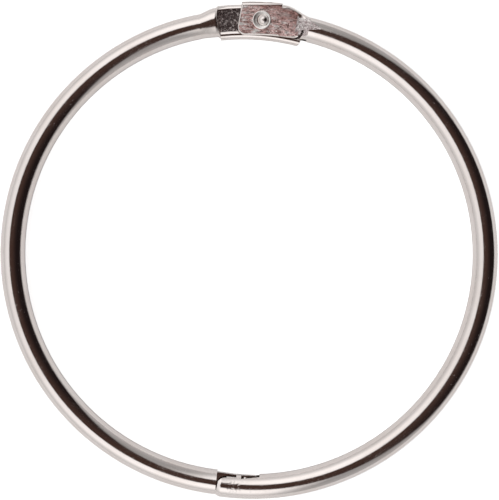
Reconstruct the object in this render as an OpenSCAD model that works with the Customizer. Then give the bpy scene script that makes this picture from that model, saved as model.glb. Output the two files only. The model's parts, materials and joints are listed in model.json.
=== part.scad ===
// Hinged binder ring, closed and lying flat: two halves rolled from sheet steel and one rivet.
// Each half is one strip, rolled into a tube with its seam on the inside of the ring.
// The socket half ends in two ears that straddle the hook half's flattened tongue.
// At the mouth, the hook half's folded blade enters the socket half's tube.
// +Z is the ring's axis, Z = 0 is the surface it lies on, and the hinge is at +Y.

/* [Ring] */
// Inside width of the closed ring
ring_inner_d = 76.2; // [60:0.2:110]
// Outside diameter of the rolled tube
tube_d = 4.2; // [4.0:0.1:4.8]
// Thickness of the sheet steel
sheet_t = 0.5; // [0.4:0.05:0.55]
// Gap between the rolled edges along the seam
seam_gap = 0.25; // [0.15:0.05:0.4]
// Distance between the bend centres of the two halves
bend_spread = 1.75; // [0:0.25:3]
// How much tighter the hook half is bent than the socket half
bend_difference = 0.2; // [0:0.1:0.4]
// How far the hook half's bend centre sits towards the hinge
bend_lift = 0.3; // [0.1:0.05:0.5]

/* [Hinge] */
// Direction of the pivot from the socket half's bend centre, in degrees
pivot_angle = 88; // [84:0.5:92]
// How far the pivot sits outside the middle of the tube
pivot_lift = 0.35; // [0:0.05:0.6]
// Radius of the rivet's shank
shank_r = 0.8; // [0.6:0.05:1.0]
// Running clearance round the shank and beside the tongue
hinge_clearance = 0.05; // [0.02:0.01:0.1]
// How far the tongue reaches inwards beyond the tube
tongue_beyond_in = 0.75; // [0.5:0.05:1.0]
// How far the tongue reaches outwards beyond the tube
tongue_beyond_out = 0.95; // [0.7:0.05:1.1]
// Radius of the hollow inside the tongue's rounded edges
fold_r = 0.3; // [0.25:0.05:0.4]
// Depth of the panel pressed into each face of the tongue
panel_depth = 0.2; // [0.1:0.05:0.25]
// Length of the tongue on the hook half's side of the pivot
neck_length = 7.0; // [6.4:0.1:8]
// Distance from the pivot to the tongue's rounded tail
tail_reach = 7.4; // [6.8:0.1:7.5]
// Radius of the tail's rounded inner corner
tail_corner_r = 0.6; // [0.4:0.1:0.9]
// Length of the ears on the hook half's side of the pivot
ear_length = 3.9; // [3.4:0.1:4.4]
// Slant of the ears' ends, in degrees
ear_slant = 9; // [0:1:20]
// How far the ears reach outwards beyond the tube
ears_beyond_out = 1.4; // [1.1:0.1:1.7]
// How far the ears reach inwards beyond the tube
ears_beyond_in = 0.05; // [-0.1:0.05:0.3]
// Radius of the ears' rounded lower corners
ear_corner_r = 1.4; // [0.8:0.1:1.6]
// Distance from the pivot to where the web joins the ears
web_start = 3.1; // [3.0:0.1:4.2]
// How far the web reaches outwards beyond the tube
web_beyond_out = 1.2; // [0.8:0.05:1.3]
// Distance from the pivot to where the flattened end has become round
round_start = 8.1; // [7.4:0.1:8.4]
// Width of the relief slit between the ears and the round tube
relief_w = 0.4; // [0.3:0.05:0.5]
// Distance from the pivot to the tip of the pressed ramp
ramp_tip = 10.1; // [9:0.1:11]

/* [Rivet] */
// Radius of the rivet's flange
flange_r = 1.55; // [1.3:0.05:1.7]
// Thickness of the rivet's flange at its rim
flange_t = 0.2; // [0.14:0.02:0.24]
// Radius of the dome on the rivet's front head
dome_r = 1.0; // [0.8:0.05:1.2]
// Height of the dome on the rivet's front head
dome_h = 0.6; // [0.3:0.05:0.7]
// How far the struck dome sits off the shank's axis
dome_offset = 0.3; // [0:0.05:0.35]
// Radius of the rivet's peened back head
peen_r = 1.35; // [1.1:0.05:1.6]
// Height of the rivet's peened back head
peen_h = 0.45; // [0.3:0.05:0.6]

/* [Mouth] */
// Direction of the mouth, from straight opposite the hinge towards the hook half, in degrees
mouth_angle = 9.2; // [8:0.1:12]
// Gap between the two closed ends
mouth_gap = 0.1; // [0.1:0.05:0.3]
// Length of the blade beyond the mouth
blade_length = 7.0; // [6.4:0.1:7.2]
// Gap between the blade's two layers
blade_gap = 0.2; // [0.1:0.05:0.3]
// Clearance between the blade's outer edge and the socket's bore
blade_clearance = 0.4; // [0.35:0.05:0.6]
// How far the blade's root lies under the tube's inner side
root_sink = 0.05; // [0.05:0.05:0.15]
// How far the blade's tip lies under the tube's inner side
tip_sink = 0.25; // [0.2:0.05:0.4]
// Height of the dimple on each face of the blade
dimple_h = 0.15; // [0.1:0.05:0.2]
// Radius of the dimple
dimple_r = 0.35; // [0.25:0.05:0.4]
// Clearance between the dimples and the lips of the socket
lip_clearance = 0.05; // [0.05:0.01:0.15]
// Length of the notch between the mouth and the lips
notch_length = 3.3; // [2.8:0.1:3.6]
// Width of the notch
notch_w = 2.6; // [2.2:0.1:2.9]
// Length of the lips that the dimples pass
lip_length = 0.8; // [0.6:0.1:1.2]
// Length of the window behind the lips
window_length = 3.1; // [2.9:0.1:3.6]
// Width of the window where it meets the lips
window_w = 3.0; // [2.7:0.1:3.1]
// Radius of the socket's rounded inner corner
mouth_corner_r = 1.5; // [1.0:0.1:1.6]

/* [Hidden] */
$fn = 48;
CORNER_STEPS = 10;  // sides of each rounded corner of a lofted section
CHANNEL_STEPS = 7;  // and of the socket half's channel
LOFT_STEPS = 8;     // sections in each stretch of a loft
SKIN = 0.02;        // how far a loft runs into what it joins
SHY = 0.03;         // how much smaller a loft is there
HAIR = 0.01;        // step left where two flat faces would otherwise coincide
RUN_OUT = 4;        // how far cutting shapes reach past what they cut

tube_r = tube_d / 2;
bore_r = tube_r - sheet_t;
tongue_in = tube_r + tongue_beyond_in;
tongue_out = tube_r + tongue_beyond_out;
ear_rise = tube_r + ears_beyond_out;
ear_drop = tube_r + ears_beyond_in;
web_rise = tube_r + web_beyond_out;
mean_bend_r = (ring_inner_d + tube_d - bend_spread) / 2;
socket_r = mean_bend_r + bend_difference / 2;
hook_r = mean_bend_r - bend_difference / 2;
socket_centre = [bend_spread / 2, 0];
hook_centre = [-bend_spread / 2, bend_lift];
pivot = socket_centre + (socket_r + pivot_lift) * [cos(pivot_angle), sin(pivot_angle)];
hook_pivot_angle = atan2(pivot.y - hook_centre.y, pivot.x - hook_centre.x);
mouth_polar = 270 - mouth_angle;
mouth = socket_centre + socket_r * [cos(mouth_polar), sin(mouth_polar)];
hook_mouth_polar = 360 + atan2(mouth.y - hook_centre.y, mouth.x - hook_centre.x)
    - mouth_gap / hook_r * 180 / PI;

// The origin is the middle of the closed ring's outline.
outline_x = (socket_centre.x + socket_r + hook_centre.x - hook_r) / 2;
outline_y = (ear_rise - tube_r) / 2;

bead_r = fold_r + sheet_t;          // outside radius of the tongue's rounded edges
panel_r = bead_r - panel_depth;     // half the tongue's thickness across the panel
slit_r = fold_r - panel_depth;      // half the gap between the tongue's two layers
ear_gap = 2 * bead_r + 2 * hinge_clearance;
ear_face = ear_gap / 2 + sheet_t;   // height of the ears' outer faces above the middle of the tube
ear_edge_r = 0.45;
web_edge_r = 0.75;
web_end = 3.6;                      // where the web starts to narrow towards the round tube
web_inner_y = web_rise - sheet_t - pivot_lift - web_start * web_start / (2 * socket_r);
swing_r = norm([web_start, web_inner_y]) - 0.1; // the tongue's back clears the web's end
back_y = web_inner_y - 0.12;
tail_y = 0.2;                       // height of the tail's top edge above the pivot
swing_gap = 0.1;                    // between the tail and the walls it swings past

panel_edge = tongue_out - 0.85;
shoulder_length = 0.6;              // steep step from the round tube down to the tongue
flare_length = 3.0;                 // stretch over which the round tube becomes oval
oval_in = tube_r + 0.1;
oval_out = tube_r + 0.65;
oval_half = tube_r - 0.1;
oval_corner = [(oval_in + oval_out) / 2 - 0.1, oval_half - 0.1];
neck_end = neck_length + shoulder_length + flare_length;

relief_at = [5.4, 0.65 - tube_r];           // middle of the ears' rear lower corners, from the pivot
ramp_start = 6.4;
pressed_end = ramp_tip + 0.4;
press_slope = (tube_r - HAIR - ear_face) / (ramp_tip - ramp_start);
ramp_edge = [0.6 - tube_r, 0.7 - tube_r]; // the ramp's inner edge, at its start and at its tip

nose_r = tube_r + 0.04;             // ball that rounds the socket's rim
nose_reach = 1.15;                  // from that ball's centre to the rim
opening_length = notch_length + lip_length + window_length;
blade_t = 2 * sheet_t + blade_gap;
blade_out = sqrt(bore_r * bore_r - blade_t * blade_t / 4) - blade_clearance;
lip_w = blade_t + 2 * dimple_h + 2 * lip_clearance;
window_end_w = window_w - 0.7;
opening_outline = [
    [-opening_length, notch_w / 2],
    [notch_length - opening_length / 2, notch_w / 2],
    [notch_length - opening_length / 2, lip_w / 2],
    [opening_length / 2 - window_length, lip_w / 2],
    [opening_length / 2 - window_length, window_w / 2],
    [opening_length / 2, window_end_w / 2]
];
opening_mirrored = [for (i = [len(opening_outline) - 1:-1:0]) opening_outline[i]];
dimple_at = notch_length + lip_length + 0.75;
dimple_depth = 0.8;                 // how far the dimples lie outwards from the tube's inner side
dimple_ball_r = (dimple_r * dimple_r + dimple_h * dimple_h) / (2 * dimple_h);
blade_root = 2.2;                   // length of the blade's root inside the hook half's tube
blade_tip_r = 0.6;
plug_gap = 0.35;                    // from the hook half's rim to the necked-down plug

// Degrees of a bend of radius r that an arc of the given length covers.
function arc_angle(length, r) = length / r * 180 / PI;
// Directions of sections at a distance from the pivot, away along each half.
function on_socket(distance) = pivot_angle - arc_angle(distance, socket_r);
function on_hook(distance) = hook_pivot_angle + arc_angle(distance, hook_r);
// Place across the tube, straight from the mouth, of what lies a little under the tube's inner side.
function under_side(sink, distance) = sink - tube_r - distance * distance / (2 * socket_r);
// Eases from 0 to 1 with no slope at either end.
function ease(t) = t * t * (3 - 2 * t);

// Points round a bar with oval corners. s is its direction, how far it reaches inwards and outwards,
// half its thickness, and its corners' radii along and across.
function loop_of(s) = [
    for (i = [0:4 * CORNER_STEPS - 1])
        let (a = (i + 0.5) * 90 / CORNER_STEPS)
        [
            (cos(a) > 0 ? s[2] - s[4] : s[4] - s[1]) + s[4] * cos(a),
            (sin(a) > 0 ? 1 : -1) * (s[3] - s[5]) + s[5] * sin(a)
        ]
];

// Sections eased from a to b, leaving out b itself; their directions are evenly spaced.
function eased(a, b) = [
    for (k = [0:LOFT_STEPS - 1])
        let (v = a + (b - a) * ease(k / LOFT_STEPS))
        concat([a[0] + (b[0] - a[0]) * k / LOFT_STEPS], [for (i = [1:len(v) - 1]) v[i]])
];

// Skin over sections that stand across a bend, in order of rising direction.
module loft(centre, r, sections) {
    n = 4 * CORNER_STEPS;
    last = len(sections) - 1;
    points = [
        for (s = sections)
            for (p = loop_of(s))
                [centre.x + (r + p.x) * cos(s[0]), centre.y + (r + p.x) * sin(s[0]), p.y]
    ];
    lower = [for (k = [0:last - 1]) for (i = [0:n - 1])
        [k * n + i, k * n + (i + 1) % n, (k + 1) * n + (i + 1) % n]];
    upper = [for (k = [0:last - 1]) for (i = [0:n - 1])
        [k * n + i, (k + 1) * n + (i + 1) % n, (k + 1) * n + i]];
    caps = [[for (i = [0:n - 1]) n - 1 - i], [for (i = [0:n - 1]) last * n + i]];
    polyhedron(points, concat(caps, lower, upper));
}

// Sweeps a 2D section round a bend; the section's X is outwards from the middle of the tube.
module sweep(centre, r, from, to) {
    translate([centre.x, centre.y, 0])
        rotate([0, 0, from])
            rotate_extrude(angle = to - from) translate([r, 0]) children();
}

// A bar from x = low to x = high, its outer corners rounded.
module bar(low, high, half, corner_r) {
    centre = [high - corner_r, half - corner_r];
    polygon(concat(
        [[low, half], [low, -half]],
        [for (a = [-90:15:0]) [centre.x + corner_r * cos(a), -centre.y + corner_r * sin(a)]],
        [for (a = [0:15:90]) [centre.x + corner_r * cos(a), centre.y + corner_r * sin(a)]]
    ));
}

// Puts the ring flat on Z = 0 with its outline's middle at the origin.
module laid_flat() {
    translate([-outline_x, -outline_y, tube_r]) children();
}

// Frame at the pivot: X runs along the ring towards the socket half, Y points outwards.
module at_pivot() {
    translate([pivot.x, pivot.y, 0]) rotate([0, 0, pivot_angle - 90]) children();
}

// Frame on the socket half's tube: X points outwards, Y runs away from the mouth.
module at_mouth(distance) {
    translate([socket_centre.x, socket_centre.y, 0])
        rotate([0, 0, mouth_polar + arc_angle(distance, socket_r)])
            translate([socket_r, 0, 0]) children();
}

// Cuts straight through both faces.
module through() {
    linear_extrude(2 * RUN_OUT, center = true) children();
}

// Outline of the face pressed flat at the socket half's hinge end, seen from above.
module pressed_outline(offset_in) {
    polygon([
        [web_end + 0.1, -RUN_OUT],
        [relief_at.x, -RUN_OUT],
        [relief_at.x, ramp_edge[0] - offset_in],
        [ramp_start + 1, ramp_edge[0] - offset_in],
        [ramp_tip, ramp_edge[1] - offset_in],
        [ramp_tip + 2, ramp_edge[1] - offset_in],
        [ramp_tip + 2, RUN_OUT],
        [web_end + 0.1, RUN_OUT]
    ]);
    translate(relief_at) circle(ear_corner_r + relief_w / 2);
}

// What the press pushes out of the way above the flat face and its ramp, lowered by depth.
module pressed_away(depth, offset_in) {
    intersection() {
        through() pressed_outline(offset_in);
        translate([0, 2 * RUN_OUT, 0]) rotate([90, 0, 0]) linear_extrude(4 * RUN_OUT)
            polygon([
                [0, ear_face - depth],
                [ramp_start, ear_face - depth],
                [ramp_tip + RUN_OUT, ear_face - depth + press_slope * (ramp_tip + RUN_OUT - ramp_start)],
                [ramp_tip + RUN_OUT, 2 * RUN_OUT],
                [0, 2 * RUN_OUT]
            ]);
    }
}

// Section of a rolled tube with its seam on the inside of the ring.
module rolled_section() {
    difference() {
        circle(tube_r);
        circle(bore_r);
        seam_section(0);
    }
}

module seam_section(inner) {
    translate([-RUN_OUT, -seam_gap / 2]) square([RUN_OUT - inner, seam_gap]);
}

// The press leaves sheet_t of steel under its flat face and ramp.
module under_press() {
    at_pivot()
        for (side = [0, 1]) mirror([0, 0, side]) pressed_away(sheet_t, sheet_t - 0.05);
}

// Cuts that each piece of the hinge end takes: the seam, room for the tail, relief slits.
module end_seam() {
    sweep(socket_centre, socket_r, on_socket(pressed_end + 1), on_socket(round_start - 1))
        seam_section(0);
}

module tail_room() {
    at_pivot() intersection() {
        cylinder(r = tail_reach + swing_gap, h = ear_gap, center = true);
        translate([tail_reach - 1, -RUN_OUT, 0])
            cube([2 * RUN_OUT, 2 * RUN_OUT + 2, ear_gap + 1], center = true);
    }
}

// The slits run round the ears' rear lower corners.
module relief_slits() {
    at_pivot() through() difference() {
        translate(relief_at) intersection() {
            circle(ear_corner_r + relief_w);
            translate([0, -2 * RUN_OUT]) square(2 * RUN_OUT);
        }
        translate(relief_at) circle(ear_corner_r);
    }
}

// Round tube under the pressed ramp.
module ramp_tube() {
    difference() {
        difference() {
            difference() {
                difference() {
                    sweep(socket_centre, socket_r, on_socket(pressed_end), on_socket(round_start))
                        circle(tube_r);
                    difference() {
                        sweep(socket_centre, socket_r, on_socket(pressed_end + 1), on_socket(round_start - 1))
                            circle(bore_r);
                        under_press();
                    }
                }
                at_pivot() for (side = [0, 1]) mirror([0, 0, side]) pressed_away(0, 0);
            }
            end_seam();
        }
        tail_room();
    }
}

// Height of the pressed face above the middle of the tube, at x along the pivot's frame.
function press_height(x) = ear_face + max(0, x - ramp_start) * press_slope;

// Upper half of one surface of the channel, from its lip to its outermost point.
// f is [inwards, outwards, half thickness, inner corner radius, outer corner radius].
function half_outline(f, lip) =
    let (a = f[2] - f[3] >= lip ? 0 : asin((lip - f[2] + f[3]) / f[3]))
    concat(
        [[f[3] - f[0] - f[3] * cos(a), lip]],
        [for (j = [1:CHANNEL_STEPS]) let (t = a + (90 - a) * j / (CHANNEL_STEPS + 0.5))
            [f[3] - f[0] - f[3] * cos(t), f[2] - f[3] + f[3] * sin(t)]],
        [for (j = [1:CHANNEL_STEPS]) let (t = 90 * (1 - (j - 0.5) / CHANNEL_STEPS))
            [f[1] - f[4] + f[4] * cos(t), f[2] - f[4] + f[4] * sin(t)]]
    );

// A surface's upper half at direction d, pressed flat to inset below the pressed face.
function pressed_outline_at(d, f, inset) = [
    for (p = half_outline(f, ear_gap / 2 + HAIR))
        [p.x, min(p.y, press_height((socket_r + p.x) * sin(pivot_angle - d)) - inset)]
];

// Stretch of sheet that turns from a round tube into a flat channel, open on its inner side.
module channel_loft() {
    // direction, outer surface, inner surface
    round = [
        on_socket(round_start + SKIN),
        tube_r - SHY, tube_r - SHY, tube_r - SHY, tube_r - SHY - HAIR, tube_r - SHY - HAIR,
        bore_r + SHY, bore_r + SHY, bore_r + SHY, bore_r + SHY - HAIR, bore_r + SHY - HAIR
    ];
    flat = [
        on_socket(web_end),
        ear_drop - HAIR, web_rise, ear_face - HAIR, 0.1, web_edge_r,
        ear_drop + 0.8, web_rise - sheet_t + SHY, ear_gap / 2 + 2 * HAIR, 1, 0.3
    ];
    web = concat([on_socket(web_start)], [for (i = [1:len(flat) - 1]) flat[i]]);
    sections = concat(eased(round, flat), [flat, web]);
    n = 2 * CHANNEL_STEPS + 1;
    loops = [
        for (v = sections)
            let (
                outer = pressed_outline_at(v[0], [v[1], v[2], v[3], v[4], v[5]], 2 * HAIR),
                inner = pressed_outline_at(v[0], [v[6], v[7], v[8], v[9], v[10]], sheet_t - 2 * HAIR)
            )
            concat(
                [for (i = [0:n - 1]) [inner[i].x, inner[i].y]],
                [for (i = [n - 1:-1:0]) [inner[i].x, -inner[i].y]],
                [for (i = [0:n - 1]) [outer[i].x, -outer[i].y]],
                [for (i = [n - 1:-1:0]) [outer[i].x, outer[i].y]]
            )
    ];
    m = 4 * n;
    last = len(sections) - 1;
    points = [
        for (k = [0:last])
            for (p = loops[k])
                let (d = sections[k][0], r = socket_r + p.x)
                [socket_centre.x + r * cos(d), socket_centre.y + r * sin(d), p.y]
    ];
    // each cap is a strip between the two surfaces
    strip = [for (i = [0:2 * n - 2]) [i, i + 1, m - 2 - i, m - 1 - i]];
    caps = concat(
        [for (q = strip) [q[3], q[2], q[1], q[0]]],
        [for (q = strip) [for (i = q) last * m + i]]
    );
    sides = [for (k = [0:last - 1]) for (i = [0:m - 1]) let (j = (i + 1) % m)
        [k * m + i, k * m + j, (k + 1) * m + j, (k + 1) * m + i]];
    polyhedron(points, [for (q = concat(caps, sides)) each [[q[0], q[1], q[2]], [q[0], q[2], q[3]]]]);
}

// That stretch with its relief slits.
module channel_end() {
    difference() {
        channel_loft();
        relief_slits();
    }
}

// Section of the two ears.
module ears_section() {
    difference() {
        bar(-ear_drop, ear_rise, ear_face, ear_edge_r);
        translate([-RUN_OUT, -ear_gap / 2]) square([2 * RUN_OUT, ear_gap]);
    }
}

// Outline of what trims the ears' slanted ends and rounds their front lower corners.
module ear_end_outline() {
    low_r = socket_r - ear_drop + ear_corner_r;
    hub_y = -socket_r - pivot_lift;
    guess_y = hub_y + low_r;
    x = -ear_length + (ear_corner_r + guess_y * sin(ear_slant)) / cos(ear_slant);
    y = hub_y + sqrt(low_r * low_r - x * x);
    tip = [-ear_length + (ear_corner_r + y * sin(ear_slant)) / cos(ear_slant), y];
    foot = tip + 2 * ear_corner_r * [tip.x, tip.y - hub_y] / -low_r;
    side = tip + 2 * ear_corner_r * [-cos(ear_slant), sin(ear_slant)];
    polygon([
        [-ear_length - RUN_OUT * tan(ear_slant), -RUN_OUT],
        [-ear_length + 2 * RUN_OUT * tan(ear_slant), 2 * RUN_OUT],
        [-3 * RUN_OUT, 2 * RUN_OUT],
        [-3 * RUN_OUT, -RUN_OUT]
    ]);
    difference() {
        polygon([tip, foot, foot + [-RUN_OUT, -1], side + [-RUN_OUT, -1], side]);
        translate(tip) circle(ear_corner_r);
    }
}

// Ears, with the hole for the rivet.
module ears() {
    difference() {
        sweep(socket_centre, socket_r, on_socket(web_start + 0.1), on_socket(-ear_length - 1.5))
            ears_section();
        at_pivot() through() {
            ear_end_outline();
            circle(shank_r);
        }
    }
}

// Round tube of the socket half, with the notch, lips and window in the seam's edges.
module socket_tube() {
    difference() {
        sweep(socket_centre, socket_r, mouth_polar - 360, on_socket(pressed_end - 0.1)) rolled_section();
        at_mouth(opening_length / 2)
            translate([-RUN_OUT - 0.3, 0, 0]) rotate([90, 0, 90]) linear_extrude(RUN_OUT)
                polygon([for (side = [-1, 1]) for (p = side < 0 ? opening_outline : opening_mirrored)
                    [p.x, side * p.y]]);
        at_mouth(0) through() difference() {
            translate([-RUN_OUT, -1]) square([RUN_OUT, 1 + mouth_corner_r]);
            translate([0, mouth_corner_r]) circle(mouth_corner_r);
        }
        // rounded rim
        at_mouth(nose_reach) difference() {
            rotate([90, 0, 0]) cylinder(r = RUN_OUT, h = 2 * nose_reach);
            sphere(nose_r);
        }
    }
}

module socket_half() {
    color("silver") laid_flat() {
        socket_tube();
        ramp_tube();
        channel_end();
        ears();
    }
}

// Section of the hook half's tongue: two rounded edges with a thinner panel between them.
module tongue_section() {
    translate([bead_r - tongue_in, -panel_r]) square([tongue_in + tongue_out - 2 * bead_r, 2 * panel_r]);
    translate([bead_r - tongue_in, 0]) circle(bead_r);
    intersection() {
        translate([tongue_out - bead_r, 0]) circle(bead_r);
        translate([panel_edge, -RUN_OUT]) square(2 * RUN_OUT);
    }
}

// Hollow between the tongue's two layers.
module tongue_hollow() {
    translate([bead_r - tongue_in, 0]) circle(fold_r);
    translate([tongue_out - bead_r, 0]) circle(fold_r);
    translate([-RUN_OUT, -slit_r]) square([RUN_OUT + tongue_out - bead_r, 2 * slit_r]);
}

// Outline of the tongue on the tail's side of the pivot, seen from above.
module tail_outline() {
    back_x = sqrt(swing_r * swing_r - back_y * back_y);
    slope = (back_y - tail_y + 0.4) / (tail_reach + 1 - back_x);
    circle(swing_r);
    difference() {
        intersection() {
            circle(tail_reach);
            polygon([
                [0, -2 * RUN_OUT],
                [0, back_y + slope * back_x],
                [tail_reach + 1, tail_y - 0.4],
                [tail_reach + 1, -2 * RUN_OUT]
            ]);
        }
        tail_corner_outline();
    }
}

// What is trimmed off the tail's inner corner to round it.
module tail_corner_outline() {
    to_hub = hook_centre - pivot;
    turn = 90 - pivot_angle;
    hub = [to_hub.x * cos(turn) - to_hub.y * sin(turn), to_hub.x * sin(turn) + to_hub.y * cos(turn)];
    d = norm(hub);
    u = hub / d;
    a = tail_reach - tail_corner_r;
    b = hook_r - tongue_in + tail_corner_r;
    along = (a * a - b * b + d * d) / (2 * d);
    middle = along * u + sqrt(a * a - along * along) * [-u.y, u.x];
    to_edge = 2 * tail_corner_r * (hub - middle) / b;
    to_end = 2 * tail_corner_r * middle / a;
    difference() {
        polygon([middle, middle + to_edge, middle + to_edge + to_end, middle + to_end]);
        translate(middle) circle(tail_corner_r);
    }
}

// The folded blade that enters the socket half, before its two layers are parted.
module blade_blank() {
    edge = tube_r - root_sink;
    low = tip_sink - 0.1 - tube_r;
    difference() {
        sweep(socket_centre, socket_r, mouth_polar - arc_angle(blade_root, socket_r),
            mouth_polar + arc_angle(blade_length, socket_r))
            bar(-edge, blade_out, blade_t / 2, blade_t / 2);
        // its inner edge dips towards the tip
        at_mouth(0) through() polygon([
            [under_side(root_sink + SKIN, 0), 0],
            [under_side((root_sink + tip_sink) / 2, notch_length), notch_length],
            [under_side(tip_sink, blade_length + 0.5), blade_length + 0.5],
            [-2 * RUN_OUT, blade_length + 0.5],
            [-2 * RUN_OUT, 0]
        ]);
        // rounded tip
        at_mouth(blade_length) through() difference() {
            translate([-RUN_OUT, -blade_tip_r]) square([2 * RUN_OUT, 2 * blade_tip_r]);
            translate([blade_out - blade_tip_r, -blade_tip_r]) circle(blade_tip_r);
            translate([low + blade_tip_r, -blade_tip_r]) circle(blade_tip_r);
            translate([low + blade_tip_r, -2 * blade_tip_r])
                square([blade_out - low - 2 * blade_tip_r, 2 * blade_tip_r]);
        }
    }
    at_mouth(dimple_at) for (side = [-1, 1])
        translate([dimple_depth - tube_r, 0, side * (blade_t / 2 + dimple_h - dimple_ball_r)])
            sphere(dimple_ball_r);
}

// Gap between the blade's two layers, open along the seam.
module blade_parting() {
    sweep(socket_centre, socket_r, mouth_polar - arc_angle(blade_root + 1, socket_r),
        mouth_polar + arc_angle(blade_length + 1, socket_r))
        translate([-RUN_OUT, sheet_t - blade_t / 2])
            square([RUN_OUT + blade_out - sheet_t, blade_gap]);
}

// Neck and tongue of the hook half, before they are hollowed.
module neck_blank() {
    r = tube_r - SHY;
    half = panel_r - SHY;
    round = [on_hook(neck_end + SKIN), r, r, r, r - HAIR, r - HAIR];
    flare = [
        on_hook(neck_length + shoulder_length), oval_in, oval_out, oval_half, oval_corner.x, oval_corner.y
    ];
    foot = [on_hook(neck_length), tongue_in - 0.1, tongue_out - SHY, half, half - HAIR, half - HAIR];
    buried = concat([foot[0] - 1], [for (i = [1:5]) foot[i]]);
    loft(hook_centre, hook_r, concat([buried], eased(foot, flare), eased(flare, round), [round]));
    difference() {
        sweep(hook_centre, hook_r, on_hook(-tail_reach - 1), on_hook(neck_length + shoulder_length / 3))
            tongue_section();
        at_pivot() through() difference() {
            translate([0, -3 * RUN_OUT]) square(6 * RUN_OUT);
            tail_outline();
        }
    }
}

// Hollow of the neck and tongue, closing down to the gap between the tongue's layers.
module neck_hollow() {
    shelf = neck_length + shoulder_length + sheet_t;
    r = bore_r + SHY;
    half = slit_r - HAIR;
    round = [on_hook(neck_end + 2 * SKIN), r, r, r, r - HAIR, r - HAIR];
    flare = [
        on_hook(shelf), oval_in - sheet_t, oval_out - sheet_t, oval_half - sheet_t,
        oval_corner.x - sheet_t, oval_corner.y - sheet_t
    ];
    foot = [on_hook(shelf - shoulder_length), tongue_in - 1, tongue_out - 1, half, half - HAIR, half - HAIR];
    buried = concat([foot[0] - 1], [for (i = [1:5]) foot[i]]);
    loft(hook_centre, hook_r, concat([buried], eased(foot, flare), eased(flare, round), [round]));
    sweep(hook_centre, hook_r, on_hook(-tail_reach - 2), on_hook(neck_length + 0.1))
        tongue_hollow();
}

// Neck and tongue of the hook half, with the seam and the hole for the rivet.
module hook_neck() {
    difference() {
        difference() {
            difference() {
                neck_blank();
                neck_hollow();
            }
            sweep(hook_centre, hook_r, on_hook(neck_length - 0.1), on_hook(neck_end + 1))
                seam_section(bead_r);
        }
        at_pivot() cylinder(r = shank_r + hinge_clearance, h = 2 * RUN_OUT, center = true);
    }
}

module hook_half() {
    color("gainsboro") laid_flat() {
        hook_neck();
        sweep(hook_centre, hook_r, on_hook(neck_end), hook_mouth_polar) rolled_section();
        // the tube is closed round the blade's root
        sweep(hook_centre, hook_r, hook_mouth_polar - arc_angle(blade_root + 0.3, hook_r),
            hook_mouth_polar - arc_angle(plug_gap, hook_r)) circle(bore_r + 0.1);
        difference() {
            blade_blank();
            blade_parting();
        }
    }
}

module rivet() {
    head_t = flange_t + dome_h;
    color("lightgray") laid_flat() at_pivot() {
        cylinder(r = shank_r, h = 2 * ear_face, center = true);
        // dished flange
        translate([0, 0, ear_face]) rotate_extrude()
            polygon([
                [0, 0],
                [flange_r, 0],
                [flange_r, flange_t * 0.6],
                [flange_r - 0.12, flange_t],
                [flange_r - 0.5, flange_t * 0.45],
                [0, flange_t * 0.45]
            ]);
        // struck dome
        translate([dome_offset, 0, ear_face + head_t - dome_r]) intersection() {
            sphere(dome_r);
            translate([0, 0, dome_r - head_t + flange_t * 0.2]) cylinder(r = dome_r, h = dome_r);
        }
        // peened back head
        translate([0, 0, -ear_face]) mirror([0, 0, 1]) intersection() {
            cylinder(r = peen_r, h = peen_h);
            translate([0, 0, peen_h - 1.35 * peen_r]) sphere(1.35 * peen_r);
        }
    }
}

socket_half();
hook_half();
rivet();
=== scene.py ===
"""A hinged binder ring of nickel-plated steel, closed and lying flat on a white table."""

import json
import math

import bmesh
import bpy
import numpy as np
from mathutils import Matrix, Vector


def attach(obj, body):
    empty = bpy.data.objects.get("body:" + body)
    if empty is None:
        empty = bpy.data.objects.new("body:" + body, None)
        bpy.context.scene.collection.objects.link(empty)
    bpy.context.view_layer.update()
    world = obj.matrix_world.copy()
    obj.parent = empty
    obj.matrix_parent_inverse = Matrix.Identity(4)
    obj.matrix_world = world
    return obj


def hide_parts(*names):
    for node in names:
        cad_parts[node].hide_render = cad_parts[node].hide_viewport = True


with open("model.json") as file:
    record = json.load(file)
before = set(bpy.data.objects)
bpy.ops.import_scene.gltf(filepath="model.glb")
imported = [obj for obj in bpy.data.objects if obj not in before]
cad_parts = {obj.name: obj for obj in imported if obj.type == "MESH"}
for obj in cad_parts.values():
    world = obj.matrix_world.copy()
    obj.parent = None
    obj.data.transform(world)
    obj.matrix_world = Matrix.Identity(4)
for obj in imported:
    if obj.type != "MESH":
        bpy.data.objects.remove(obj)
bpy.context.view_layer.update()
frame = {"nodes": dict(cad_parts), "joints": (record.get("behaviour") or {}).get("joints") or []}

MM = 0.001
NODES = frame["nodes"]

# ---------------------------------------------------------------- sizes

PIVOT = Vector(frame["joints"][0]["pos_m"])
TUBE_R = PIVOT.z                    # the ring lies on its tube, and its rivet is at the tube's middle height
RING_R = 40 * MM                    # about the ring's own radius, for lengths measured round it

# reading the CAD meshes
WELD = 0.0005 * MM                  # corners closer than this are one
ON_SURFACE = 0.004 * MM             # how far a corner may be from the surface that it lies on
FACET_BOW = 0.045 * MM              # how far under the tube's surface the middle of a facet may lie
WIDE_FACET = math.radians(11)       # facets that take up more of the tube's round than this are halved
FLAT_TURN = math.radians(0.5)       # faces that turn less than this towards each other are one flat face
SOFT_TURN = math.radians(34)        # and those that turn less than this are shaded as one
RIVET_HOLE = 1.2 * MM               # corners nearer to the pivot than this are on the rivet's hole
PANEL_REACH = 8 * MM                # the tongue's panels lie within this distance of the pivot
HINGE_REACH = 12 * MM               # the ears and the ramp within this one
EAR_TAIL = 4.2 * MM                 # the ears' faces end this far from the pivot, on the mouth's side
RAMP_START = 3 * MM                 # the ramp starts this far to the right of the pivot
PRESSED_IN = 0.03 * MM              # a pressed face lies at least this deep under the tube's surface
INSIDE = 0.3 * MM                   # and the tube's inside deeper than this

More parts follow.
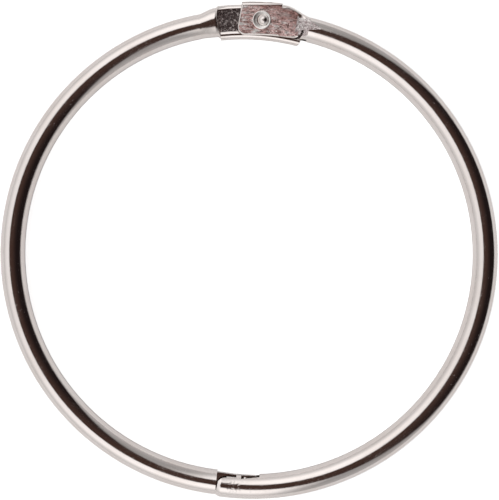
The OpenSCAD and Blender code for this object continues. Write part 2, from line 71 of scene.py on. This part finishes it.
# shaping of the ears
EAR_STEP = 0.02 * MM                # their far length is punched this much lower
EAR_EDGE = 0.24 * MM                # rounding of their cut outline
RIM_START = 2.45 * MM               # their rims bend down from this far behind the pivot
RIM_REACH = 6.5 * MM                # over this far to its left and right
RIM_BANDS = 5                       # in this many bands
RIM_BAND = 0.17 * MM                # of this width
RIM_CURVE = 0.45 / MM               # the drop grows with the square of the distance times this
RIM_DROP = 0.3 * MM                 # until it is this much


def from_pivot(point):
    """How far a point is from the rivet's axis."""
    return (point.xy - PIVOT.xy).length


def bend_of(node):
    """Centre and radius of the arc that the middle of a half's tube follows."""
    corners = np.array([v.co for v in NODES[node].data.vertices if v.co.y < PIVOT.y / 2])
    # a first circle through the tube's top line
    high = corners[corners[:, 2] > 1.9 * TUBE_R][:, :2]
    rows = np.column_stack((2 * high, np.ones(len(high))))
    x, y, rest = np.linalg.lstsq(rows, (high ** 2).sum(axis=1), rcond=None)[0]
    bend = np.array((x, y, math.sqrt(rest + x * x + y * y)))
    # then steps that bring the corners within so many millimetres of the tube's surface onto it
    for near in (0.1, 0.1, 0.05, 0.02, 0.01, 0.005, 0.004, 0.004):
        out = corners[:, :2] - bend[:2]
        far = np.hypot(out[:, 0], out[:, 1])
        across = np.hypot(far - bend[2], corners[:, 2] - TUBE_R)
        on_tube = np.abs(across - TUBE_R) < near * MM
        slopes = np.column_stack((-out / far[:, None], -np.ones(len(far))))
        lean = ((far - bend[2]) / across)[:, None] * slopes
        bend -= np.linalg.lstsq(lean[on_tube], (across - TUBE_R)[on_tube], rcond=None)[0]
    return Vector(bend[:2]), bend[2]


def face_height(node):
    """Height of a half's flat face at the rivet, above the middle of the tube."""
    at_hole = [v.co.z for v in NODES[node].data.vertices if from_pivot(v.co) < RIVET_HOLE]
    return max(at_hole) - TUBE_R


BENDS = {"socket_half": bend_of("socket_half"), "hook_half": bend_of("hook_half")}
EAR_FACE = face_height("socket_half")
PANEL_FACE = face_height("hook_half")

# ---------------------------------------------------------------- shader helpers


def link(tree, value, socket):
    """Sets a socket to a number or a colour, or links another socket to it."""
    if isinstance(value, bpy.types.NodeSocket):
        tree.links.new(value, socket)
    else:
        socket.default_value = value


def calc(tree, operation, *values):
    """A Math node's result."""
    node = tree.nodes.new("ShaderNodeMath")
    node.operation = operation
    for socket, value in zip(node.inputs, values):
        link(tree, value, socket)
    return node.outputs[0]


def add(tree, first, second):
    return calc(tree, "ADD", first, second)


def times(tree, first, second):
    return calc(tree, "MULTIPLY", first, second)


def vector_calc(tree, operation, first, second=None):
    """A Vector Math node, with its vector inputs set or linked."""
    node = tree.nodes.new("ShaderNodeVectorMath")
    node.operation = operation
    link(tree, first, node.inputs[0])
    if second is not None:
        link(tree, second, node.inputs[1])
    return node.outputs


def object_place(tree):
    """Where a point is in the ring's own frame."""
    return tree.nodes.new("ShaderNodeTexCoord").outputs["Object"]


def scaled_by(tree, vector, factor):
    """A vector times a number."""
    node = tree.nodes.new("ShaderNodeVectorMath")
    node.operation = "SCALE"
    tree.links.new(vector, node.inputs[0])
    link(tree, factor, node.inputs["Scale"])
    return node.outputs[0]


def blend(tree, value, low, high, start=0.0, end=1.0):
    """Goes smoothly from start to end while value goes from low to high."""
    node = tree.nodes.new("ShaderNodeMapRange")
    node.interpolation_type = "SMOOTHSTEP"
    ends = {"Value": value, "From Min": low, "From Max": high, "To Min": start, "To Max": end}
    for name, number in ends.items():
        link(tree, number, node.inputs[name])
    return node.outputs[0]


def mix_colors(tree, factor, first, second):
    """A mix of two colours, whose sockets come after the node's number and vector ones."""
    node = tree.nodes.new("ShaderNodeMix")
    node.data_type = "RGBA"
    link(tree, factor, node.inputs[0])
    link(tree, first, node.inputs[6])
    link(tree, second, node.inputs[7])
    return node.outputs[2]


def noise(tree, place, detail, roughness):
    """A noise texture's value, with lumps about one unit across."""
    node = tree.nodes.new("ShaderNodeTexNoise")
    node.inputs["Scale"].default_value = 1
    node.inputs["Detail"].default_value = detail
    node.inputs["Roughness"].default_value = roughness
    tree.links.new(place, node.inputs["Vector"])
    return node.outputs["Fac"]


def new_group(name, inputs, outputs, colors=()):
    """A node group with these inputs and outputs; gives its tree and the sockets of its two end nodes."""
    tree = bpy.data.node_groups.new(name, "ShaderNodeTree")
    for label, default in inputs.items():
        kind = "NodeSocketColor" if label in colors else "NodeSocketFloat"
        tree.interface.new_socket(label, in_out="INPUT", socket_type=kind).default_value = default
    for label in outputs:
        kind = "NodeSocketColor" if label in colors else "NodeSocketFloat"
        tree.interface.new_socket(label, in_out="OUTPUT", socket_type=kind)
    return tree, tree.nodes.new("NodeGroupInput").outputs, tree.nodes.new("NodeGroupOutput").inputs


def place_group(tree, group, values=None):
    """A group placed in a material or in another group, with its own values."""
    node = tree.nodes.new("ShaderNodeGroup")
    node.node_tree = group
    for label, value in (values or {}).items():
        link(tree, value, node.inputs[label])
    return node.outputs


# ---------------------------------------------------------------- colours

PLATE = (0.79, 0.73, 0.705, 1)          # bright nickel
PLATE_WARM = (0.7, 0.615, 0.57, 1)      # the same where handling has dulled it
PRESSED_PALE = (1.0, 0.96, 0.93, 1)     # the crests of the press marks
PRESSED_MIDDLE = (0.95, 0.67, 0.64, 1)  # the ears' faces between the marks
PRESSED_DARK = (0.3, 0.125, 0.105, 1)   # the bottoms of the marks, and the ears' painted shade
RAMP_MIDDLE = (1.0, 0.91, 0.9, 1)       # the ramp is paler than the ears
RAMP_DARK = (0.42, 0.31, 0.31, 1)
GRAIN_PALE = (1.0, 0.9, 0.88, 1)        # specks in the tongue's panel
GRAIN_DARK = (0.17, 0.13, 0.13, 1)      # the panel's ground, and darker smears in the painted shade inside the tube
SHADED_STEEL = (0.3, 0.26, 0.24, 1)            # the bare inside of the tube, darkened as painted shade
WHITE = (1, 1, 1, 1)                    # the room's backdrop and the table's glow
GLOOM_LEFT = (0.062, 0.035, 0.028, 1)   # the dark opening overhead, towards its left
GLOOM_RIGHT = (0.015, 0.01, 0.01, 1)    # and towards its right

# ---------------------------------------------------------------- effects that the finishes share


def make_rolling_lines():
    """Fine lines along the strip, as rolling leaves them; they are Stretch times longer than wide."""
    tree, given, out = new_group("rolling_lines", {"Lines per mm": 6.0, "Stretch": 12.0, "Sharpness": 0.5},
                                 ("Lines", "Deep"))
    split = tree.nodes.new("ShaderNodeSeparateXYZ")
    tree.links.new(object_place(tree), split.inputs[0])
    x, y, z = split.outputs
    from_centre = calc(tree, "SQRT", add(tree, times(tree, x, x), times(tree, y, y)))
    # the angle jumps by a full turn opposite the hinge, where the plate's lines are faint
    round_ring = times(tree, calc(tree, "ARCTAN2", x, y), RING_R)
    along = calc(tree, "DIVIDE", round_ring, given["Stretch"])
    strip = tree.nodes.new("ShaderNodeCombineXYZ")
    for socket, value in zip(strip.inputs, (along, from_centre, z)):
        tree.links.new(value, socket)
    scaled = scaled_by(tree, strip.outputs[0], times(tree, given["Lines per mm"], 1 / MM))
    fine = noise(tree, scaled, 3.0, 0.6)
    low = calc(tree, "SUBTRACT", 0.62, times(tree, given["Sharpness"], 0.12))
    tree.links.new(blend(tree, fine, low, 0.68), out["Lines"])
    tree.links.new(blend(tree, fine, 0.46, 0.3), out["Deep"])
    return tree


def make_handling():
    """Cloudy smears and small spots, as handling and storage leave them on plate."""
    tree, given, out = new_group("handling", {"Smear size mm": 6.0, "Spot size mm": 0.5}, ("Smears", "Spots"))
    place = object_place(tree)

    def lumps(size, shift, detail):
        """Noise with lumps of a size in millimetres; the shift keeps two sizes from lining up."""
        scaled = scaled_by(tree, place, calc(tree, "DIVIDE", 1 / MM, size))
        moved = vector_calc(tree, "ADD", scaled, (shift, shift * 0.7, shift * 1.3))[0]
        return noise(tree, moved, detail, 0.55)

    tree.links.new(blend(tree, lumps(given["Smear size mm"], 3.0, 3.0), 0.35, 0.68), out["Smears"])
    tree.links.new(blend(tree, lumps(given["Spot size mm"], 8.0, 1.5), 0.6, 0.72), out["Spots"])
    return tree


def make_press_marks():
    """What a press leaves on a face that it strikes: short lines, smears and specks; its shade input adds a
    painted shade that darkens the colour and dims the specks.
    """
    colors = {"Pale": PRESSED_PALE, "Middle": PRESSED_MIDDLE, "Dark": PRESSED_DARK}
    tree, given, out = new_group("press_marks", {"Lines per mm": 2.0, "Stretch": 2.0, "Painted shade": 0.0, **colors},
                                 ("Color", "Lines", "Height"), ("Color", *colors))
    cut = {"Lines per mm": given["Lines per mm"], "Stretch": given["Stretch"], "Sharpness": 1.0}
    lines = place_group(tree, LINES, cut)
    marks = place_group(tree, HANDLING, {"Smear size mm": 2.2, "Spot size mm": 0.32})
    worn = mix_colors(tree, times(tree, lines["Deep"], 0.9), given["Middle"], given["Dark"])
    # painted shade: the shade input darkens the face towards the marks' dark colour and dims the pale specks
    smears_and_shade = calc(tree, "MAXIMUM", times(tree, marks["Smears"], 0.6), given["Painted shade"])
    smeared_and_shaded = mix_colors(tree, smears_and_shade, worn, given["Dark"])
    specks = calc(tree, "MAXIMUM", lines["Lines"], times(tree, marks["Spots"], 0.8))
    bright = times(tree, specks, calc(tree, "SUBTRACT", 1.0, given["Painted shade"]))
    tree.links.new(mix_colors(tree, bright, smeared_and_shaded, given["Pale"]), out["Color"])
    tree.links.new(lines["Lines"], out["Lines"])
    # the dents are a little finer than the lines that are seen in the colour
    cut["Lines per mm"] = times(tree, given["Lines per mm"], 1.3)
    dents = place_group(tree, LINES, cut)
    pits = place_group(tree, HANDLING, {"Smear size mm": 1.2, "Spot size mm": 0.3})
    ridges = calc(tree, "SUBTRACT", dents["Lines"], dents["Deep"])
    tree.links.new(add(tree, ridges, times(tree, pits["Spots"], 0.8)), out["Height"])
    return tree


LINES = make_rolling_lines()
HANDLING = make_handling()
PRESS_MARKS = make_press_marks()

# ---------------------------------------------------------------- finishes


def metal(name, color, roughness, height=None, depth=0.0):
    """A metal; its colour, roughness and height are functions that build their nodes in its tree."""
    material = bpy.data.materials.new(name)
    material.use_nodes = True
    tree = material.node_tree
    tree.nodes.clear()
    surface = tree.nodes.new("ShaderNodeBsdfPrincipled")
    surface.inputs["Metallic"].default_value = 1
    output = tree.nodes.new("ShaderNodeOutputMaterial")
    tree.links.new(surface.outputs[0], output.inputs[0])
    tree.links.new(color(tree), surface.inputs["Base Color"])
    tree.links.new(roughness(tree), surface.inputs["Roughness"])
    if height:
        bump = tree.nodes.new("ShaderNodeBump")
        bump.inputs["Distance"].default_value = depth
        bump.inputs["Strength"].default_value = 1
        tree.links.new(height(tree), bump.inputs["Height"])
        tree.links.new(bump.outputs[0], surface.inputs["Normal"])
    return material


def bright_nickel(name, dented):
    """Nickel plate over rolled strip: faint lines along it, dull smears, and small dents round one point."""
    def color(tree):
        marks = place_group(tree, HANDLING)
        return mix_colors(tree, times(tree, marks["Smears"], 0.3), PLATE, PLATE_WARM)

    def roughness(tree):
        marks = place_group(tree, HANDLING)
        lines = place_group(tree, LINES, {"Lines per mm": 5.0, "Stretch": 14.0})
        dull = add(tree, times(tree, marks["Smears"], 0.05), times(tree, lines["Lines"], 0.08))
        return add(tree, add(tree, dull, 0.1), times(tree, marks["Spots"], 0.08))

    def height(tree):
        marks = place_group(tree, HANDLING, {"Smear size mm": 2.5, "Spot size mm": 0.35})
        lines = place_group(tree, LINES, {"Lines per mm": 4.0, "Stretch": 18.0})
        hollows = add(tree, times(tree, marks["Spots"], 0.6), marks["Smears"])
        faint = calc(tree, "SUBTRACT", times(tree, lines["Lines"], 0.4), hollows)
        away = vector_calc(tree, "DISTANCE", object_place(tree), dented)["Value"]
        struck = place_group(tree, HANDLING, {"Smear size mm": 0.45})
        full, none = 0.7 * MM, 1.7 * MM
        dents = times(tree, struck["Smears"], blend(tree, away, none, full))
        return calc(tree, "SUBTRACT", faint, times(tree, dents, 11.0))

    return metal(name, color, roughness, height, 0.0015 * MM)


def pressed_nickel(name, look, least_rough, depth, shade=0.0):
    """Plate on a face that a press has struck; with a shade it gets a painted shade, darker from the rivet
    backwards and right.
    """
    def marks_in(tree):
        marks = dict(look)
        if shade:
            # painted shade, growing from the rivet towards the back and right of the face
            right, back = 0.6, 0.8
            along = vector_calc(tree, "DOT_PRODUCT", object_place(tree), (right, back, 0))["Value"]
            beyond = calc(tree, "SUBTRACT", along, PIVOT.x * right + PIVOT.y * back)
            marks["Painted shade"] = blend(tree, beyond, 0.2 * MM, 4.2 * MM, 0.0, shade)
        return place_group(tree, PRESS_MARKS, marks)

    def color(tree):
        return marks_in(tree)["Color"]

    def roughness(tree):
        return add(tree, least_rough, times(tree, marks_in(tree)["Lines"], 0.12))

    def height(tree):
        return marks_in(tree)["Height"]

    return metal(name, color, roughness, height, depth)


def shaded_steel(name):
    """Bare rolled steel inside the tube, coloured darker as painted shade, with darker smears."""
    def color(tree):
        marks = place_group(tree, HANDLING, {"Smear size mm": 2.0})
        return mix_colors(tree, marks["Smears"], SHADED_STEEL, GRAIN_DARK)

    def roughness(tree):
        return add(tree, 0.35, times(tree, place_group(tree, HANDLING)["Smears"], 0.15))

    return metal(name, color, roughness)


def struck_nickel(name):
    """The rivet's plate: bright on the dome, matt on the flange that the tool has spread."""
    def on_flange(tree):
        moved = vector_calc(tree, "SUBTRACT", object_place(tree), PIVOT)[0]
        flat = vector_calc(tree, "MULTIPLY", moved, (1, 1, 0))[0]
        far = vector_calc(tree, "LENGTH", flat)["Value"]
        return blend(tree, far, 0.75 * MM, 0.95 * MM)

    def color(tree):
        marks = place_group(tree, HANDLING, {"Smear size mm": 1.0})
        worn = mix_colors(tree, times(tree, marks["Smears"], 0.4), PLATE, PLATE_WARM)
        return mix_colors(tree, on_flange(tree), worn, PRESSED_PALE)

    def roughness(tree):
        marks = place_group(tree, HANDLING, {"Smear size mm": 0.8})
        dull = add(tree, 0.14, times(tree, marks["Smears"], 0.08))
        return add(tree, dull, times(tree, on_flange(tree), 0.22))

    def height(tree):
        marks = place_group(tree, HANDLING, {"Smear size mm": 0.6, "Spot size mm": 0.2})
        return add(tree, marks["Smears"], marks["Spots"])

    return metal(name, color, roughness, height, 0.01 * MM)


# ---------------------------------------------------------------- pieces


def on_bend(point, bend):
    """How far outwards and upwards from the tube's middle a point lies, and which way is outwards."""
    centre, radius = bend
    across = point.xy - centre
    return across.length - radius, point.z - TUBE_R, across.normalized()


def off_surface(point, bend):
    """How far a point is from the outside of the tube, inwards positive."""
    out, up, _ = on_bend(point, bend)
    return TUBE_R - math.hypot(out, up)


def is_tube(corners, middle, bend):
    """True for the corners and the middle of a facet of the tube's outside."""
    return (all(abs(off_surface(corner, bend)) < ON_SURFACE for corner in corners)
            and off_surface(middle, bend) < FACET_BOW)


def is_flat_at(face, height):
    """True for a face that lies flat at a height above or below the middle of the tube."""
    level = all(abs(abs(v.co.z - TUBE_R) - height) < ON_SURFACE for v in face.verts)
    return level and abs(face.normal.z) > 0.999


def welded(node):
    """A CAD node's mesh with its faces joined where they meet."""
    mesh = bmesh.new()
    mesh.from_mesh(NODES[node].data)
    bmesh.ops.remove_doubles(mesh, verts=mesh.verts, dist=WELD)
    bmesh.ops.dissolve_degenerate(mesh, dist=0.4 * WELD, edges=mesh.edges)
    mesh.normal_update()
    return mesh


def make_rounder(mesh, bend):
    """Halves the facets across the tube and sets their new corners on the tube's true surface."""
    def turn(edge):
        """How much of the tube's round an edge takes up."""
        first, second = (math.atan2(up, out) for out, up, _ in (on_bend(v.co, bend) for v in edge.verts))
        step = abs(first - second)
        return min(step, 2 * math.pi - step)

    facets = [f for f in mesh.faces if is_tube([v.co for v in f.verts], f.calc_center_median(), bend)]
    wide = dict.fromkeys(e for f in facets for e in f.edges if turn(e) > WIDE_FACET)
    made = bmesh.ops.subdivide_edges(mesh, edges=list(wide), cuts=1)
    for corner in made["geom_inner"]:
        if isinstance(corner, bmesh.types.BMVert):
            out, up, outwards = on_bend(corner.co, bend)
            grow = TUBE_R / math.hypot(out, up)
            corner.co.xy = bend[0] + outwards * (bend[1] + out * grow)
            corner.co.z = TUBE_R + up * grow
    bmesh.ops.triangulate(mesh, faces=[f for f in mesh.faces if len(f.verts) > 4])
    mesh.normal_update()


def join_ear_faces(mesh):
    """Joins the ears' flat facets, so that their outline can be rounded evenly."""
    flat = {f for f in mesh.faces if is_flat_at(f, EAR_FACE)}
    inner = [e for e in mesh.edges if len(e.link_faces) == 2 and flat.issuperset(e.link_faces)]
    bmesh.ops.dissolve_limit(mesh, angle_limit=FLAT_TURN, verts=[], edges=inner)
    mesh.normal_update()


def level_ears(mesh):
    """Takes out the faint step between the ears' two punched lengths, and joins their faces there."""
    for vert in mesh.verts:
        up = vert.co.z - TUBE_R
        above_step = abs(up) - (EAR_FACE - EAR_STEP)
        if from_pivot(vert.co) < HINGE_REACH and abs(above_step) < 0.6 * EAR_STEP:
            vert.co.z = TUBE_R + math.copysign(EAR_FACE, up)
    for height in (TUBE_R + EAR_FACE, TUBE_R - EAR_FACE):
        level = [f for f in mesh.faces if all(abs(v.co.z - height) < WELD for v in f.verts)]
        clear_of_hole = [f for f in level if all(from_pivot(v.co) > RIVET_HOLE for v in f.verts)]
        bmesh.ops.dissolve_faces(mesh, faces=clear_of_hole, use_verts=False)
    mesh.normal_update()


def round_ear_edges(mesh):
    """Rounds the ears' cut outlines, as punching does, and leaves the rivet's hole sharp."""
    outline = []
    for edge in mesh.edges:
        flat = [f for f in edge.link_faces if is_flat_at(f, EAR_FACE)]
        upright = [f for f in edge.link_faces if abs(f.normal.z) < 0.2]
        middle = (edge.verts[0].co + edge.verts[1].co) / 2
        if len(edge.link_faces) == 2 and flat and upright and from_pivot(middle) > RIVET_HOLE:
            outline.append(edge)
    bmesh.ops.bevel(mesh, geom=outline, offset=EAR_EDGE, segments=4, profile=0.5, affect="EDGES",
                    clamp_overlap=False)
    mesh.normal_update()


def bend_ear_rims(mesh):
    """Bends the ears' outer rims towards each other, where the strip turns down into the fold."""
    start = PIVOT.y + RIM_START
    for band in range(RIM_BANDS):
        faces = [f for f in mesh.faces if is_flat_at(f, EAR_FACE) and max(v.co.y for v in f.verts) > start]
        edges = dict.fromkeys(e for f in faces for e in f.edges)
        verts = dict.fromkeys(v for f in faces for v in f.verts)
        bmesh.ops.bisect_plane(mesh, geom=[*faces, *edges, *verts], dist=2 * WELD,
                               plane_co=(0, start + band * RIM_BAND, 0), plane_no=(0, 1, 0))
    for vert in mesh.verts:
        up = vert.co.z - TUBE_R
        beyond = vert.co.y - start
        if beyond > 0 and abs(up) > EAR_FACE * 0.8 and abs(vert.co.x - PIVOT.x) < RIM_REACH:
            vert.co.z -= math.copysign(min(RIM_CURVE * beyond ** 2, RIM_DROP), up)
    mesh.normal_update()


def set_tube_normals(piece, bend):
    """Applies the soft shading, then gives the tube's facets the normals of its true surface."""
    shaded = bpy.data.meshes.new_from_object(piece.evaluated_get(bpy.context.evaluated_depsgraph_get()))
    piece.modifiers.clear()
    piece.data = shaded
    normals = [Vector(n.vector) for n in shaded.corner_normals]
    for face in shaded.polygons:
        corners = [shaded.vertices[i].co for i in face.vertices]
        if is_tube(corners, face.center, bend):
            for loop, corner in zip(face.loop_indices, corners):
                out, up, outwards = on_bend(corner, bend)
                normals[loop] = Vector((outwards.x * out, outwards.y * out, up)).normalized()
    shaded.normals_split_custom_set(normals)


def make_half(node, slot, body, finishes, pick):
    """A half of the ring: its CAD mesh made rounder, with soft shading and a finish for each region."""
    bend = BENDS[node]
    mesh = welded(node)
    make_rounder(mesh, bend)
    if node == "socket_half":
        join_ear_faces(mesh)
        level_ears(mesh)
        round_ear_edges(mesh)
        bend_ear_rims(mesh)
    regions = list(finishes)
    for edge in mesh.edges:
        edge.smooth = len(edge.link_faces) == 2 and edge.calc_face_angle(math.pi) < SOFT_TURN
    for face in mesh.faces:
        face.smooth = True
        face.material_index = regions.index(pick(face, bend))
    data = bpy.data.meshes.new(slot)
    mesh.to_mesh(data)
    mesh.free()
    for finish in finishes.values():
        data.materials.append(finish)
    piece = bpy.data.objects.new(slot, data)
    bpy.context.scene.collection.objects.link(piece)
    piece.modifiers.new("soft shading", "WEIGHTED_NORMAL").keep_sharp = True
    set_tube_normals(piece, bend)
    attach(piece, body)
    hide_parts(node)


def pick_socket(face, bend):
    """The region of the socket half that a face belongs to."""
    middle = face.calc_center_median()
    out, up, _ = on_bend(middle, bend)
    depth = off_surface(middle, bend)
    if from_pivot(middle) > HINGE_REACH:
        return "inside" if depth > INSIDE else "tube"
    if middle.y > PIVOT.y - EAR_TAIL and is_flat_at(face, EAR_FACE):
        return "ear"
    right = middle.x > PIVOT.x + RAMP_START and out < TUBE_R * 0.9
    if right and abs(up) > EAR_FACE * 0.9 and abs(face.normal.z) > 0.85 and depth > PRESSED_IN:
        return "ramp"
    return "tube"


def pick_hook(face, bend):
    """The region of the hook half that a face belongs to."""
    at_tongue = from_pivot(face.calc_center_median()) < PANEL_REACH
    return "panel" if at_tongue and is_flat_at(face, PANEL_FACE) else "tube"


def dented_place():
    """Where the tube is dented: on top of it, a little to the right of the mouth."""
    mouth = min((v.co for v in NODES["socket_half"].data.vertices if v.co.y < 0), key=lambda co: co.x)
    return mouth + Vector((3.2, 1.2, 2.0)) * MM


tube_plate = bright_nickel("bright_nickel", dented_place())
ear_plate = pressed_nickel("pressed_ear", {"Lines per mm": 1.7, "Stretch": 3.2}, 0.24, 0.14 * MM, shade=0.75)
ramp_look = {"Lines per mm": 2.2, "Stretch": 1.5, "Middle": RAMP_MIDDLE, "Dark": RAMP_DARK}
ramp_plate = pressed_nickel("pressed_ramp", ramp_look, 0.26, 0.12 * MM)
grain = {"Pale": GRAIN_PALE, "Middle": GRAIN_DARK, "Dark": GRAIN_DARK}
panel_look = {"Lines per mm": 3.2, "Stretch": 1.0, **grain}
panel_plate = pressed_nickel("grained_panel", panel_look, 0.2, 0.14 * MM)
inside_steel_shade = shaded_steel("inside_steel_shade")
rivet_plate = struck_nickel("struck_nickel")

socket_finishes = {"tube": tube_plate, "ear": ear_plate, "ramp": ramp_plate, "inside": inside_steel_shade}
make_half("socket_half", "socket_nickel", "socket_side", socket_finishes, pick_socket)
make_half("hook_half", "hook_nickel", "hook_side", {"tube": tube_plate, "panel": panel_plate}, pick_hook)
NODES["rivet"].data.materials.clear()
NODES["rivet"].data.materials.append(rivet_plate)

# ---------------------------------------------------------------- table, light and camera


def make_table():
    """A white table, which stays white to the camera, to metal and to glass, and keeps the ring's shadow."""
    bpy.ops.mesh.primitive_plane_add(size=4, location=(0, 0, 0))
    table = bpy.context.object
    table.name = "table"
    material = bpy.data.materials.new("white_table")
    material.use_nodes = True
    tree = material.node_tree
    tree.nodes.clear()
    rays = tree.nodes.new("ShaderNodeLightPath").outputs
    mirrored = calc(tree, "MAXIMUM", rays["Is Glossy Ray"], rays["Is Transmission Ray"])
    glow = add(tree, times(tree, rays["Is Camera Ray"], 0.8), times(tree, mirrored, 0.35))
    surface = tree.nodes.new("ShaderNodeBsdfPrincipled")
    surface.inputs["Base Color"].default_value = (0.8, 0.8, 0.8, 1)
    surface.inputs["Roughness"].default_value = 0.9
    surface.inputs["Specular IOR Level"].default_value = 0
    surface.inputs["Emission Color"].default_value = WHITE
    tree.links.new(glow, surface.inputs["Emission Strength"])
    output = tree.nodes.new("ShaderNodeOutputMaterial")
    tree.links.new(surface.outputs[0], output.inputs[0])
    table.data.materials.append(material)


def make_studio():
    """Soft white walls, brighter on the left, and a dark opening overhead that reaches to the right."""
    world = bpy.data.worlds.new("studio")
    bpy.context.scene.world = world
    world.use_nodes = True
    tree = world.node_tree
    tree.nodes.clear()
    split = tree.nodes.new("ShaderNodeSeparateXYZ")
    tree.links.new(tree.nodes.new("ShaderNodeTexCoord").outputs["Generated"], split.inputs[0])
    x, y, z = split.outputs

    def towards(direction):
        """How far a ray runs towards a direction, from -1 to 1."""
        a, b, c = Vector(direction).normalized()
        return add(tree, add(tree, times(tree, x, a), times(tree, y, b)), times(tree, z, c))

    # the opening is round, and its far and near sides narrow to a wedge towards the left
    lean, reach, soft = math.radians(29), math.radians(53), math.radians(3.5)
    middle = towards((math.sin(lean), 0.03, math.cos(lean)))
    round_part = blend(tree, middle, math.cos(reach + soft), math.cos(reach - soft))
    far_side = blend(tree, towards((0.75, -1, 0.42)), -0.05, 0.05)
    near_side = blend(tree, towards((0.75, 1, 0.42)), -0.05, 0.05)
    opening = times(tree, round_part, times(tree, far_side, near_side))
    gloom = mix_colors(tree, blend(tree, x, -0.1, 0.75), GLOOM_LEFT, GLOOM_RIGHT)
    # walls: the left ones are brightest high up and towards their ends
    high = blend(tree, z, 0.2, 0.7, 0.7, 0.97)
    ends = times(tree, times(tree, y, y), times(tree, z, z))
    left_level = add(tree, high, times(tree, ends, 1.4))
    right_level = blend(tree, z, 0.1, 0.6, 0.48, 0.38)
    left = blend(tree, x, 0.22, 0.02)
    level = add(tree, times(tree, left, left_level),
                times(tree, calc(tree, "SUBTRACT", 1.0, left), right_level))
    walls = tree.nodes.new("ShaderNodeCombineColor")
    for socket in walls.inputs:
        tree.links.new(level, socket)
    room = mix_colors(tree, opening, walls.outputs[0], gloom)
    # a white backdrop stands low round the table; the camera sees white in every direction
    rays = tree.nodes.new("ShaderNodeLightPath").outputs
    straight = calc(tree, "MAXIMUM", rays["Is Camera Ray"], rays["Is Transmission Ray"])
    mirrored_low = times(tree, rays["Is Glossy Ray"], blend(tree, z, 0.06, 0.01))
    background = tree.nodes.new("ShaderNodeBackground")
    backdrop = mix_colors(tree, calc(tree, "MAXIMUM", straight, mirrored_low), room, WHITE)
    tree.links.new(backdrop, background.inputs["Color"])
    output = tree.nodes.new("ShaderNodeOutputWorld")
    tree.links.new(background.outputs[0], output.inputs[0])


def make_camera():
    """A camera straight above the ring."""
    data = bpy.data.cameras.new("camera")
    camera = bpy.data.objects.new("camera", data)
    bpy.context.scene.collection.objects.link(camera)
    data.lens = 100
    data.sensor_width = 36
    data.clip_start = 0.01
    seen = 85.1 * MM    # how much it sees across its longer side, at the height of the tube's middle
    right, back = 0.09 * MM, 0.12 * MM
    camera.location = (right, back, TUBE_R + seen / data.sensor_width * data.lens)
    bpy.context.scene.camera = camera


make_table()
make_studio()
make_camera()
bpy.context.scene.view_settings.view_transform = "Standard"
